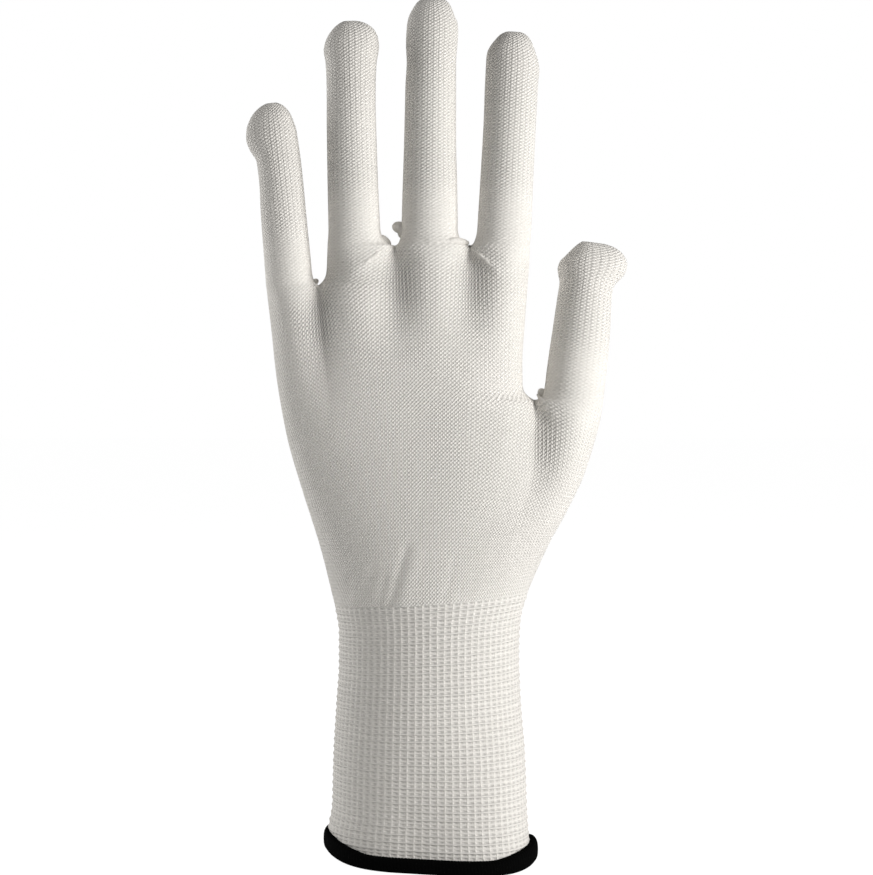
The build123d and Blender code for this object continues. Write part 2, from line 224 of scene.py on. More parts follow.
def smooth(x, knots):
    """Monotone cubic through (place, value) knots, level beyond its ends."""
    places, values = np.array(knots, dtype=float).T
    step = np.diff(places)
    slope = np.diff(values) / step
    tangent = np.zeros_like(places)
    tangent[0] = slope[0]
    tangent[-1] = slope[-1]
    product = slope[:-1] * slope[1:]
    total = slope[:-1] + slope[1:]
    total = np.where(np.abs(total) < 1e-12, 1.0, total)
    tangent[1:-1] = np.where(product > 0, 2 * product / total, 0.0)
    x = np.clip(x, places[0], places[-1])
    i = np.clip(np.searchsorted(places, x, side="right") - 1, 0, len(step) - 1)
    t = (x - places[i]) / step[i]
    return ((2 * t**3 - 3 * t**2 + 1) * values[i] + (t**3 - 2 * t**2 + t) * step[i] * tangent[i]
            + (3 * t**2 - 2 * t**3) * values[i + 1] + (t**3 - t**2) * step[i] * tangent[i + 1])


def web(rise, height):
    """1 at a crotch falling to 0 at height, along a quarter of an ellipse."""
    t = np.clip(rise / height, 0.0, 1.0)
    return 1 - np.sqrt(1 - (1 - t) ** 2)


# Cross-sections of the hand

def chain(stall, left, right, drop, side):
    """Half tube of one stall carried down into the hand, between its two crotch lines.

    An ellipse at the crotch; lower down the sine of its angle is squared, so that neighbouring
    half tubes meet in a smooth valley.
    """
    at_left = stall.left_web[0] if stall.left_web else stall.left[0][1]
    at_right = stall.right_web[0] if stall.right_web else stall.right[0][1]
    centre = left + (right - left) * at_left / (at_left + at_right)
    angle = np.linspace(0, math.pi, STALL_COLUMNS + 1)
    c = np.cos(angle)
    x = np.where(c > 0, centre - (centre - left) * c, centre - (right - centre) * c)
    y = side * stall.depth * np.clip(np.sin(angle), 0, 1) ** (1 + ease(drop / 6))
    return np.stack([x, y], axis=1)


def slab(z, stops, side):
    """Half superellipse from the first stop to the last, its wales even between the stops."""
    depth = float(smooth(z, BACK_DEPTH if side < 0 else PALM_DEPTH))
    power = float(smooth(z, SQUARENESS))
    angle = np.linspace(0, math.pi, 721)
    c = np.cos(angle)
    s = np.clip(np.sin(angle), 0, 1)
    stretch = (np.abs(c) ** power + s ** power) ** (-1 / power)
    half = (stops[-1] - stops[0]) / 2
    x = (stops[0] + stops[-1]) / 2 - half * c * stretch
    y = depth * s * stretch
    along = np.concatenate([[0], np.cumsum(np.hypot(np.diff(x), np.diff(y)))])
    marks = np.interp(stops, x, along)
    steps = np.arange(STALL_COLUMNS * (len(stops) - 1) + 1) / STALL_COLUMNS
    place = np.interp(steps, np.arange(len(stops)), marks)
    return np.stack([np.interp(place, along, x), side * np.interp(place, along, y)], axis=1)


def merge(drop, x, lines, reach, share, far):
    """How far the stalls have flowed into the hand at a drop below their crotch, 0 to 1.

    Near a crotch line it starts steeply, which rounds the web; away from it, slowly.
    """
    t = np.clip(drop / reach, 0, 1)
    root = share * math.sqrt(1 - (1 - t) ** 2) + (1 - share) * float(ease(drop / far))
    slow = float(ease(drop / SLOW_MERGE))
    away = np.min([np.abs(x - line) for line in lines], axis=0)
    close = 1 - ease((away - CROTCH_CLEAR) / CROTCH_FADE)
    return (close * root + (1 - close) * slow)[:, None]


def section(z, side, level):
    """Points (x, y) of one course of the hand at height z.

    level is 3 where it carries the ring, middle and index stalls, 4 with the little one and 5
    with the thumb.
    """
    little_line = float(smooth(z, LITTLE_LINE))
    ring_line = float(smooth(z, RING_LINE))
    index_line = float(smooth(z, INDEX_LINE))
    thumb_line = float(smooth(z, THUMB_LINE))
    if level == 3:
        first = float(smooth(z, RING_EDGE)) - 2.0 * float(web(z - LITTLE_CROTCH, 4.0))
    else:
        first = little_line
    if level == 5:
        last = thumb_line
    else:
        last = float(smooth(z, INDEX_EDGE)) + 3.5 * float(web(z - THUMB_CROTCH, 4.0))
    drop = FINGER_CROTCH - z
    stops = [first, ring_line, index_line, last]
    tubes = [chain(stall, stops[i], stops[i + 1], drop, side)
             for i, stall in enumerate((RING, MIDDLE, INDEX))]
    tubes = np.concatenate([tubes[0], tubes[1][1:], tubes[2][1:]])
    flat = slab(z, stops, side)
    weight = merge(drop, flat[:, 0], stops[1:3], 14.0, 0.58, 50.0)
    outline = (1 - weight) * tubes + weight * flat
    if level == 3:
        return outline
    drop = LITTLE_CROTCH - z
    stops = [float(smooth(z, LITTLE_EDGE))] + stops
    tube = chain(LITTLE, stops[0], stops[1], drop, side)
    outline = np.concatenate([tube, outline[1:]])
    flat = slab(z, stops, side)
    weight = merge(drop, flat[:, 0], stops[1:2], 14.0, 0.58, 46.0)
    outline = (1 - weight) * outline + weight * flat
    if level == 4:
        return outline
    drop = THUMB_CROTCH - z
    stops = stops + [float(smooth(z, THUMB_EDGE))]
    tube = chain(THUMB, stops[-2], stops[-1], drop, side)
    outline = np.concatenate([outline, tube[1:]])
    flat = slab(z, stops, side)
    weight = merge(drop, flat[:, 0], stops[-2:-1], 16.0, 0.62, 45.0)
    return (1 - weight) * outline + weight * flat


# The welded shell

class Shell:
    """Collects grids of points into one surface: points, quads, stitch coordinates and tags."""

    def __init__(self):
        self.points = []
        self.quads = []
        self.stitches = []
        self.openness = []
        self.room = []
        self.tags = []
        self.count = 0

    def add(self, grid, u, v, openness, room, tags, outward):
        """Adds a grid of rows going up and columns going to +X.

        tags has one name a row of quads.
        """
        rows, columns = grid.shape[:2]
        index = np.arange(rows * columns).reshape(rows, columns) + self.count
        quad = np.stack([index[:-1, :-1], index[:-1, 1:], index[1:, 1:], index[1:, :-1]], axis=-1)
        both = np.stack(np.broadcast_arrays(u, v), axis=-1)
        corner = np.stack([both[:-1, :-1], both[:-1, 1:], both[1:, 1:], both[1:, :-1]], axis=-2)
        if not outward:
            quad = quad[..., ::-1]
            corner = corner[..., ::-1, :]
        self.points.append(grid.reshape(-1, 3))
        self.quads.append(quad.reshape(-1, 4))
        self.stitches.append(corner.reshape(-1, 4, 2))
        self.openness.append(np.broadcast_to(openness, (rows, columns)).ravel())
        self.room.append(np.broadcast_to(room, (rows, columns)).ravel())
        self.tags.extend(np.repeat(tags, columns - 1))
        self.count += rows * columns

    def weld(self):
        """Joins the grids where their points coincide."""
        points = np.concatenate(self.points)
        quads = np.concatenate(self.quads)
        key = np.floor(points / 1e-3 + 0.37).astype(np.int64)
        _, first, inverse = np.unique(key, axis=0, return_index=True, return_inverse=True)
        self.points = points[first]
        self.quads = inverse.reshape(-1)[quads]
        self.stitches = np.concatenate(self.stitches)
        self.openness = np.concatenate(self.openness)[first]
        self.room = np.concatenate(self.room)[first]
        self.tags = np.array(self.tags)

    def relax(self, strength, rounds):
        """Moves each point towards the mean of its neighbours by its strength, rounds times."""
        a = self.quads.ravel()
        b = np.roll(self.quads, -1, axis=1).ravel()
        count = np.zeros(len(self.points))
        np.add.at(count, a, 1)
        np.add.at(count, b, 1)
        for _ in range(rounds):
            total = np.zeros_like(self.points)
            np.add.at(total, a, self.points[b])
            np.add.at(total, b, self.points[a])
            mean = total / np.maximum(count, 1)[:, None]
            self.points = self.points + strength[:, None] * (mean - self.points)

    def normals(self):
        """Unit normal at each point, weighted by the area of the quads round it."""
        corner = self.points[self.quads]
        face = np.cross(corner[:, 2] - corner[:, 0], corner[:, 3] - corner[:, 1])
        total = np.zeros_like(self.points)
        for k in range(4):
            np.add.at(total, self.quads[:, k], face)
        return total / np.maximum(np.linalg.norm(total, axis=1), 1e-12)[:, None]


VALLEYS = [(-32, 161), (-8, 172), (14, 173), (34, 126)]    # where the hand's knit is stretched


def add_hand(shell, low, high, level, rows, bend):
    """Adds the front and back sheets of the hand between two heights, finer near the top one."""
    z = high - (high - low) * (np.arange(rows + 1)[::-1] / rows) ** bend
    first = STALL_WALES if level == 3 else 0
    for side in (-1, 1):
        outline = np.stack([section(height, side, level) for height in z])
        grid = np.concatenate(
            [outline, np.broadcast_to(z[:, None, None], outline.shape[:2] + (1,))], axis=2)
        u = HAND_WALE_SHARE * (first + np.arange(outline.shape[1]) / WALE_QUADS)
        sag = COURSE_SAG * ease((z - 80) / 25) * (1 - 0.5 * ease((z - 140) / 30))
        v = (z[:, None] - CUFF_TOP + sag[:, None] * outline[..., 0] ** 2) / HAND_COURSE
        valley = sum(np.exp(-((outline[..., 0] - x) / 5) ** 2 - ((z[:, None] - top) / 10) ** 2)
                     for x, top in VALLEYS)
        across = outline[..., 0]
        foot = (FINGER_CROTCH - (FINGER_CROTCH - LITTLE_CROTCH) * ease((-29 - across) / 4)
                - (FINGER_CROTCH - THUMB_CROTCH) * ease((across - 29) / 4))
        slack = ease((z[:, None] - foot + 12) / 12)
        # The openness opens the gaps of the knit, which the yarn material darkens with painted
        # shade.
        stretch = 2.0 * valley - SLACK_OPENNESS * slack * (1 - valley)
        shell.add(grid, u[None, :], v, stretch, 1.0, ["hand"] * rows, side < 0)


def half_width(s, knots, round_web):
    """Half width of a stall up its axis, widened towards its crotch by the web, if it has one."""
    width = smooth(s, knots)
    if round_web:
        wide, height = round_web
        width = width + (wide - knots[0][1]) * web(s, height)
    return width


def add_stall(shell, stall):
    """Adds the front and back of a stall: half ellipses up its axis, closing at the tip.

    The half width follows the knots and the web; the half depth falls to nothing over the last
    part along a quarter of a rounded ellipse.
    """
    body = np.linspace(0, stall.length - TIP_RUN, int(stall.length / STALL_ROW))
    tip = stall.length - TIP_RUN * (1 - np.sin(np.linspace(0, math.pi / 2, 9)[1:]))
    s = np.unique(np.concatenate([0.25 * np.arange(1, 6) ** 1.3 / 2, body, tip, stall.cuts]))
    angle = np.linspace(0, math.pi, STALL_COLUMNS + 1)
    left = half_width(s, stall.left, stall.left_web)
    right = half_width(s, stall.right, stall.right_web)
    start = stall.length - TIP_TAPER
    closing = np.clip((s - start) / TIP_TAPER, 0, 1)
    depth = stall.depth * np.sqrt(np.clip(1 - closing ** TIP_POWER, 0, 1))
    c = np.cos(angle)[None, :]
    x = np.where(c > 0, -left[:, None] * c, -right[:, None] * c)
    turn = ease(s / 8)[:, None]
    across = (1 - turn) * np.array([1.0, 0, 0]) + turn * stall.across
    palm = (1 - turn) * np.array([0, 1.0, 0]) + turn * stall.palm
    course = np.concatenate([[0], np.cumsum(np.hypot(np.diff(s), np.diff(depth)))])
    crotch = stall.origin[2]
    v = (crotch - CUFF_TOP) / HAND_COURSE + course[:, None] / STALL_COURSE
    u = STALL_WALE_SHARE * (STALL_WALES * stall.number + np.arange(STALL_COLUMNS + 1) / WALE_QUADS)
    most = 0.15 if stall is THUMB else 0.6
    up = s[:, None]
    # The openness opens the gaps of the knit, which the yarn material darkens with painted shade.
    open_up = (ease((up - 9) / 14) - SLACK_OPENNESS
               + most * ease((up - stall.length + 34) / 16))
    room = np.minimum(1.0, 0.35 * (stall.length - up) + 0.1)
    tags = []
    for middle in (s[:-1] + s[1:]) / 2:
        part = int(np.searchsorted(stall.cuts, middle)) - 1
        tags.append(f"{stall.name}_{part}")
    for side in (-1, 1):
        y = side * depth[:, None] * np.clip(np.sin(angle), 0, 1)[None, :]
        grid = (stall.origin + s[:, None, None] * stall.axis + x[..., None] * across[:, None, :]
                + y[..., None] * palm[:, None, :])
        shell.add(grid, u[None, :], v, open_up, room, tags, side < 0)


def near_crotch(points):
    """1 at a crotch falling to 0 some millimetres away."""
    closest = np.min([np.hypot(points[:, 0] - line[-1][1], points[:, 2] - line[-1][0])
                      for line in (LITTLE_LINE, RING_LINE, INDEX_LINE, THUMB_LINE)], axis=0)
    return 1 - ease((closest - 2.0) / 7.0)


def ridge(points, start, end, height, width):
    """Rounded ridge on the back of the hand along a line from start to end, each (x, z)."""
    a = np.array(start)
    run = np.array(end) - a
    flat = points[:, [0, 2]]
    t = np.clip(((flat - a) @ run) / (run @ run), 0, 1)
    away = np.linalg.norm(flat - a - t[:, None] * run, axis=1)
    return height * np.exp(-(away / width) ** 2)


CREASES = [               # over the cuff: start, end, height, width
    ((-12.2, 77), (-7.0, 94), -0.32, 1.2), ((-8.8, 77), (-3.8, 93), 0.22, 2.0),
    ((4.0, 77), (7.0, 91), -0.14, 1.2), ((-15.4, 77), (-13.0, 86), -0.25, 1.1),
    ((-20.4, 77), (-17.0, 89), -0.16, 1.3), ((-25.0, 78), (-23.0, 88), -0.12, 1.2),
]
SEAM_RIDGES = [           # round the foot of the stalls
    ((-13.0, 183.6), (-22.8, 175.6), 0.32, 1.7), ((0, 185.2), (9.4, 184.8), 0.35, 1.1),
    ((-4, 191.6), (6.6, 192.4), 0.20, 0.9), ((12.0, 182.8), (19.8, 176.2), 0.45, 1.3),
    ((32.4, 139.4), (36.4, 133.2), 0.35, 1.5),
]


SWELLS = [                # x, z, height, width, length: four knuckles and one broad swell
    (-36, 158, 0.4, 7, 10), (-21, 166, 0.4, 7, 10), (0, 168, 0.4, 7, 10), (20, 166, 0.4, 7, 10),
    (13, 126, 1.3, 12, 20),
]


def relief(points, normals):
    """Slow swells of the back along its normal: knuckles, creases over the cuff, stall seams."""
    x = points[:, 0]
    z = points[:, 2]
    front = ease(-normals[:, 1] * 1.5)
    lift = np.zeros(len(points))
    for across, up, height, width, length in SWELLS:
        lift += height * np.exp(-((x - across) / width) ** 2 - ((z - up) / length) ** 2)
    for start, end, height, width in CREASES + SEAM_RIDGES:
        lift += ridge(points, start, end, height, width)
    return lift * front


TOP_DIP = 0.07            # rise of the top of the cuff towards +X, a share of x
FOOT_SWING = 9.5          # the foot of the cuff lies this much towards -Y on its +X side
FOOT_SHIFT = 1.2          # and this much all over


def settle(points):
    """How the glove stands: the cuff's top dips on one side, its foot is turned a little."""
    x, y, z = points.T
    tilt = np.where(z < CUFF_TOP, ease((z - 20) / 58), 1 - ease((z - CUFF_TOP) / 27))
    foot = 1 - ease(z / 48)
    moved = points.copy()
    moved[:, 1] = y - (FOOT_SWING * ease((x + 8) / 38) + FOOT_SHIFT) * foot
    moved[:, 2] = z + TOP_DIP * x * tilt
    return moved


shell = Shell()
add_hand(shell, CUFF_TOP, THUMB_CROTCH, 5, 64, 1.3)
add_hand(shell, THUMB_CROTCH, LITTLE_CROTCH, 4, 44, 1.4)
add_hand(shell, LITTLE_CROTCH, FINGER_CROTCH, 3, 18, 1.5)
for stall in STALLS:
    add_stall(shell, stall)
shell.weld()
shell.relax(0.5 * near_crotch(shell.points), 6)
shell.points = shell.points + shell.normals() * relief(shell.points, shell.normals())[:, None]
shell.points = settle(shell.points)
shell_normals = shell.normals()


# Meshes

def make_object(name, points, faces, stitches=None, normals=None, openness=None):
    """Object of quads and longer faces; stitches is one stitch coordinate a corner."""
    mesh = bpy.data.meshes.new(name)
    sizes = np.array([len(face) for face in faces])
    corners = np.concatenate([np.asarray(face) for face in faces])
    mesh.vertices.add(len(points))
    mesh.vertices.foreach_set("co", (points * MM).ravel())
    mesh.loops.add(len(corners))
    mesh.loops.foreach_set("vertex_index", corners.astype(np.int32))
    mesh.polygons.add(len(sizes))
    mesh.polygons.foreach_set("loop_start", np.concatenate([[0], np.cumsum(sizes)[:-1]]))
    mesh.polygons.foreach_set("use_smooth", np.ones(len(sizes), dtype=bool))
    mesh.update(calc_edges=True)
    if stitches is not None:
        layer = mesh.uv_layers.new(name="stitches")
        layer.data.foreach_set("uv", stitches.ravel())
    if openness is not None:
        layer = mesh.attributes.new("openness", "FLOAT", "POINT")
        layer.data.foreach_set("value", openness.astype(np.float32))
    if normals is not None:
        mesh.normals_split_custom_set_from_vertices(normals)
    made = bpy.data.objects.new(name, mesh)
    bpy.context.scene.collection.objects.link(made)
    return made


def shell_piece(name, tags):
    """Part of the shell with the given tags, thickened inwards and closed round its edges."""
    quads = shell.quads[np.isin(shell.tags, tags)]
    corner = shell.stitches[np.isin(shell.tags, tags)]
    used, local = np.unique(quads, return_inverse=True)
    local = local.reshape(quads.shape)
    count = len(used)
    outer = shell.points[used]
    normal = shell_normals[used]
    inner = outer - SHELL_WALL * shell.room[used][:, None] * normal
    a = local.ravel()
    b = np.roll(local, -1, axis=1).ravel()
    forward = a.astype(np.int64) * count + b
    backward = b.astype(np.int64) * count + a
    edge = ~np.isin(forward, backward)
    rim = np.stack([b[edge], a[edge], a[edge] + count, b[edge] + count], axis=1)
    faces = np.concatenate([local, local[:, ::-1] + count, rim])
    stitches = np.concatenate([corner, corner[:, ::-1], np.zeros((len(rim), 4, 2))])
    openness = np.tile(shell.openness[used], 2)
    return make_object(name, np.concatenate([outer, inner]), faces, stitches,
                       np.concatenate([normal, -normal]), openness)


def ring_faces(rows, columns):
    """Quads of a grid of points that closes on itself both ways."""
    index = np.arange(rows * columns).reshape(rows, columns)
    up = np.roll(index, -1, axis=0)
    return np.stack([index, np.roll(index, -1, axis=1), np.roll(up, -1, axis=1), up],
                    axis=-1).reshape(-1, 4)


def closed_grid(name, grid, u=None, v=None):
    """Object of a grid that closes on itself both ways, like a ring; faces outward."""
    faces = ring_faces(*grid.shape[:2])
    stitches = None
    if u is not None:
        across = np.append(u, u[-1] + u[1] - u[0])
        along = np.append(v, v[-1])
        full = np.stack(np.broadcast_arrays(across[None, :], along[:, None]), axis=-1)
        stitches = np.stack([full[:-1, :-1], full[:-1, 1:], full[1:, 1:], full[1:, :-1]], axis=-2)
        stitches = stitches.reshape(-1, 4, 2)
    return make_object(name, grid.reshape(-1, 3), faces, stitches)


# Cuff

def girth_angles(count, width, depth):
    """Angles round an ellipse at equal steps of its length, from -X by way of -Y."""
    angle = np.linspace(math.pi, 3 * math.pi, 2881)
    x = width * np.cos(angle)
    y = depth * np.sin(angle)
    along = np.concatenate([[0], np.cumsum(np.hypot(np.diff(x), np.diff(y)))])
    return np.interp(np.arange(count) / count * along[-1], along, angle)


def ellipse(angle, z, swell):
    """Points of the cuff's girth at height z, moved out by swell."""
    left = smooth(z, CUFF_LEFT)[:, None] + swell
    right = smooth(z, CUFF_RIGHT)[:, None] + swell
    depth = smooth(z, CUFF_DEPTH)[:, None] + swell
    c = np.cos(angle)[None, :]
    x = np.where(c < 0, left * c, right * c)
    y = depth * np.sin(angle)[None, :]
    return np.stack(np.broadcast_arrays(x, y, z[:, None]), axis=-1)


def to_whole(value):
    """Distance to the nearest whole number."""
    return np.abs(value - np.round(value))


def build_cuff():
    """Rib cuff: thin raised course lines and wale columns, with hollows in each cell."""
    columns = CUFF_CELLS * CUFF_CELL_QUADS
    rows = CUFF_COURSES * CUFF_COURSE_QUADS
    angle = girth_angles(columns, *MEAN_GIRTH)
    u = np.arange(columns) / CUFF_CELL_QUADS
    v = np.arange(rows + 1) / CUFF_COURSE_QUADS
    z = HEM_TOP - CUFF_TUCK + (CUFF_TOP - HEM_TOP + CUFF_TUCK) * v / CUFF_COURSES
    swell = LINE_RISE * np.exp(-(to_whole(v)[:, None] / LINE_WIDTH) ** 2)
    swell = swell + COLUMN_RISE * np.exp(-(to_whole(u)[None, :] / LINE_WIDTH) ** 2) - CELL_SINK
    fade = ease((CUFF_TOP - z) / 2.0)[:, None]
    outer = ellipse(angle, z, swell * fade)
    inner_z = np.linspace(z[-1] - 0.2, z[0] + 0.2, CUFF_INNER_ROWS)
    inner = ellipse(angle, inner_z, np.full((len(inner_z), columns), -CUFF_WALL))
    grid = np.concatenate([outer, inner])
    grid = settle(grid.reshape(-1, 3)).reshape(grid.shape)
    return closed_grid("rib_cuff", grid, u, np.concatenate([v, v[::-1][:len(inner_z)]]))


def build_elastic():
    """Rings of elastic thread behind the courses of the cuff, one closed tube each."""
    angle = girth_angles(ELASTIC_QUADS, *MEAN_GIRTH)
    turn = np.linspace(0, 2 * math.pi, ELASTIC_SIDES, endpoint=False)[:, None]
    inset = CUFF_WALL + ELASTIC_GAP + ELASTIC_RADIUS
    swell = np.repeat(ELASTIC_RADIUS * np.cos(turn) - inset, ELASTIC_QUADS, axis=1)
    faces = ring_faces(ELASTIC_SIDES, ELASTIC_QUADS).tolist()
    rings = []
    for z in np.arange(HEM_TOP + ELASTIC_PITCH, WRIST_FOLD - ELASTIC_END, ELASTIC_PITCH):
        ring = ellipse(angle, z + ELASTIC_RADIUS * np.sin(turn[:, 0]), swell)
        rings.append((settle(ring.reshape(-1, 3)), faces))
    return joined("elastic_threads", rings)


def build_hem():
    """Overlock hem: a rounded band wrapped in thread, taller where it turns round the sides."""
    columns = HEM_WRAPS * HEM_WRAP_QUADS
    angle = girth_angles(columns, *HEM_GIRTH)
    wrap = np.arange(columns) / HEM_WRAP_QUADS
    turn = np.linspace(0, 2 * math.pi, HEM_PROFILE, endpoint=False)
    c = np.cos(turn)[:, None]
    s = np.sin(turn)[:, None]
    power = 2 / HEM_SQUARENESS
    lean = wrap[None, :] + 0.35 * s
    thread = np.abs(np.cos(math.pi * lean)) ** 0.6
    out = HEM_HALF_WIDTH * np.sign(c) * np.abs(c) ** power + 0.16 * (thread - 0.5) * np.abs(c)
    up = HEM_HALF_HEIGHT * np.sign(s) * np.abs(s) ** power
    up = up + 0.22 * (thread - 0.5) * np.clip(s, 0, 1)
    x = np.cos(angle)[None, :] * (HEM_CENTRE[0] + out)
    y = np.sin(angle)[None, :] * (HEM_CENTRE[1] + out)
    z = np.maximum(HEM_HALF_HEIGHT + up, 0.0) * (1 + 0.42 * ease((np.abs(x) - 17) / 14))
    grid = np.stack([x, y, z], axis=-1)
    grid = settle(grid.reshape(-1, 3)).reshape(grid.shape)
    side = np.clip(-x / 31.0, 0, 1) ** 6
    grid[..., 2] = grid[..., 2] + 2.2 * side + 1.0 * np.clip(x / 31.0, 0, 1) ** 10
    return closed_grid("overlock_band", grid)


# Crotch stitches

def on_back(x, z):
    """Point of the back of the hand's surface nearest to a place seen from the front."""
    facing = shell_normals[:, 1] < -0.05
    points = shell.points[facing]
    away = (points[:, 0] - x) ** 2 + (points[:, 2] - z) ** 2
    best = points[np.argmin(away)]
    return np.array([x, best[1], z])


def strand(path, radii, sides=10):
    """Tube of varying radius along a path, closed by a face at each end."""
    run = np.gradient(path, axis=0)
    run /= np.linalg.norm(run, axis=1)[:, None]
    start = np.cross(run, [0.0, 1.0, 0.0])
    start /= np.linalg.norm(start, axis=1)[:, None]
    other = np.cross(run, start)
    turn = np.linspace(0, 2 * math.pi, sides, endpoint=False)
    ring = (np.cos(turn)[None, :, None] * start[:, None, :]
            + np.sin(turn)[None, :, None] * other[:, None, :])
    points = path[:, None, :] + radii[:, None, None] * ring
    index = np.arange(len(path) * sides).reshape(len(path), sides)
    right = np.roll(index, -1, axis=1)
    quads = np.stack([index[:-1], right[:-1], right[1:], index[1:]], axis=-1).reshape(-1, 4)
    faces = [list(quad) for quad in quads]
    faces += [list(index[0][::-1]), list(index[-1])]
    return points.reshape(-1, 3), faces


def bead(start, end, radius):
    """Long bead from start to end, rounded all along its length."""
    t = np.linspace(-1, 1, 15)
    path = np.array(start) + (t[:, None] + 1) / 2 * (np.array(end) - np.array(start))
    return strand(path, radius * np.sqrt(np.clip(1 - t ** 2, 0.003, 1)))


def seam_stitch(places, radius):
    """Tapering twisted yarn along a line over the back of the hand, half sunk into it."""
    knots = np.array([on_back(x, z) for x, z in places])
    t = np.linspace(0, len(knots) - 1, 12 * (len(knots) - 1) + 1)
    path = np.stack([np.interp(t, np.arange(len(knots)), knots[:, k]) for k in range(3)], axis=1)
    path[:, 1] += 0.7 * radius
    taper = np.sqrt(np.clip(1 - (2 * t / t[-1] - 1) ** 2, 0.003, 1))
    twist = 1 + 0.07 * np.cos(2 * math.pi * t * 1.6)
    return strand(path, radius * taper * twist)


def joined(name, shapes):
    """One object of several closed shapes, each (points, faces)."""
    points = []
    faces = []
    count = 0
    for shape_points, shape_faces in shapes:
        points.append(shape_points)
        faces += [[corner + count for corner in face] for face in shape_faces]
        count += len(shape_points)
    return make_object(name, np.concatenate(points), faces)


# Materials

class Graph:
    """Adds nodes to a tree and links them."""

    def __init__(self, tree):
        self.tree = tree

    def add(self, kind, settings=None, inputs=None):
        """New node with its settings and inputs; an input may be a number, a colour or a socket."""
        node = self.tree.nodes.new(kind)
        for key, value in (settings or {}).items():
            setattr(node, key, value)
        for key, value in (inputs or {}).items():
            self.feed(node.inputs[key], value)
        return node

    def feed(self, target, value):
        """Links a socket to the target input, or sets it to a number or a colour."""
        if isinstance(value, bpy.types.NodeSocket):
            self.tree.links.new(value, target)
        else:
            target.default_value = value

    def maths(self, operation, *values, clamp=False):
        """Result of one maths node."""
        node = self.add("ShaderNodeMath", {"operation": operation, "use_clamp": clamp},
                        dict(enumerate(values)))
        return node.outputs[0]

    def band(self, value, low, high):
        """Smooth step of a value from 0 at low to 1 at high."""
        node = self.add("ShaderNodeMapRange", {"interpolation_type": "SMOOTHSTEP"},
                        {"Value": value, "From Min": low, "From Max": high})
        return node.outputs[0]

    def mix(self, factor, a, b):
        """Colour between a and b."""
        node = self.add("ShaderNodeMix", {"data_type": "RGBA"}, {0: factor, 6: a, 7: b})
        return node.outputs[2]


def new_group(name, inputs, outputs):
    """Empty node group of float sockets, with its graph, input sockets and output node."""
    tree = bpy.data.node_groups.new(name, "ShaderNodeTree")
    for label in inputs:
        tree.interface.new_socket(label, in_out="INPUT", socket_type="NodeSocketFloat")
    for label in outputs:
        tree.interface.new_socket(label, in_out="OUTPUT", socket_type="NodeSocketFloat")
    graph = Graph(tree)
    source = graph.add("NodeGroupInput")
    sink = graph.add("NodeGroupOutput")
    return tree, graph, source.outputs, sink


def plain_knit_group():
    """Plain knit as a lattice of waves over wales U and courses V.

    Two slanted waves make the crossed legs, one runs along the courses and one has two ridges a
    wale.  Open adds the gaps between the wales that show where the knit is stretched; the yarn
    material paints shade into these gaps from Hole and into the low parts from Height.
    """
    tree, g, source, sink = new_group("plain_knit", ["U", "V", "Open"], ["Height", "Hole"])
    two_pi = 2 * math.pi
    plus = g.maths("COSINE", g.maths("MULTIPLY", g.maths("ADD", source["U"], source["V"]), two_pi))
    minus = g.maths("COSINE",
                    g.maths("MULTIPLY", g.maths("SUBTRACT", source["U"], source["V"]), two_pi))
    course = g.maths("COSINE", g.maths("MULTIPLY", source["V"], two_pi))
    half = g.maths("COSINE", g.maths("MULTIPLY", source["U"], 2 * two_pi))
    wale = g.maths("COSINE", g.maths("MULTIPLY", source["U"], two_pi))
    stretched = g.maths("MAXIMUM", source["Open"], 0.0)
    slack = g.maths("MULTIPLY_ADD", g.maths("MINIMUM", source["Open"], 0.0), 0.75, 1.0)
    height = g.maths("MULTIPLY", plus, 0.14)
    height = g.maths("MULTIPLY_ADD", minus, 0.21, height)
    height = g.maths("MULTIPLY_ADD", course, 0.12, height)
    share = g.maths("MULTIPLY_ADD", stretched, 0.05, 0.05)
    height = g.maths("MULTIPLY_ADD", half, share, height)
    share = g.maths("MULTIPLY", stretched, 0.14)
    height = g.maths("MULTIPLY_ADD", wale, share, height)
    height = g.maths("MULTIPLY_ADD", height, slack, 0.5, clamp=True)
    hole = g.maths("MULTIPLY", g.band(height, 0.44, 0.14), stretched, clamp=True)
    g.feed(sink.inputs["Height"], height)
    g.feed(sink.inputs["Hole"], hole)
    return tree


def rib_knit_group():
    """Cuff cell: wale column, raised and painted lighter, thin course line, a slanted strand, a
    hole each side of it, darkened with painted shade.
    """
    tree, g, source, sink = new_group("rib_knit", ["U", "V", "Open"], ["Height", "Hole"])
    fu = g.maths("FRACT", source["U"])
    fv = g.maths("FRACT", source["V"])
    du = g.maths("SUBTRACT", 0.5, g.maths("ABSOLUTE", g.maths("SUBTRACT", fu, 0.5)))
    dv = g.maths("SUBTRACT", 0.5, g.maths("ABSOLUTE", g.maths("SUBTRACT", fv, 0.5)))
    four_pi = 4 * math.pi
    line = g.maths("COSINE", g.maths("MULTIPLY", source["V"], four_pi))
    line = g.maths("MULTIPLY_ADD", line, 0.24, 0.50)
    line = g.maths("MULTIPLY_ADD", g.band(dv, 0.22, 0.02), 0.26, line)
    column = g.band(du, 0.30, 0.04)
    holes = []
    for x, y in ((0.44, 0.74), (0.56, 0.26)):
        dx = g.maths("MULTIPLY", g.maths("SUBTRACT", fu, x), 0.85)
        dy = g.maths("MULTIPLY", g.maths("SUBTRACT", fv, y), 1.25)
        dx = g.maths("MULTIPLY_ADD", dy, 0.35, dx)
        away = g.maths("SQRT", g.maths("ADD", g.maths("MULTIPLY", dx, dx),
                                       g.maths("MULTIPLY", dy, dy)))
        holes.append(g.band(away, 0.25, 0.05))
    hole = g.maths("MAXIMUM", holes[0], holes[1])
    height = g.maths("MAXIMUM", g.maths("MULTIPLY", column, 0.75), line)
    height = g.maths("MULTIPLY_ADD", hole, -0.2, height)
    g.feed(sink.inputs["Height"], height)
    g.feed(sink.inputs["Hole"], hole)
    return tree


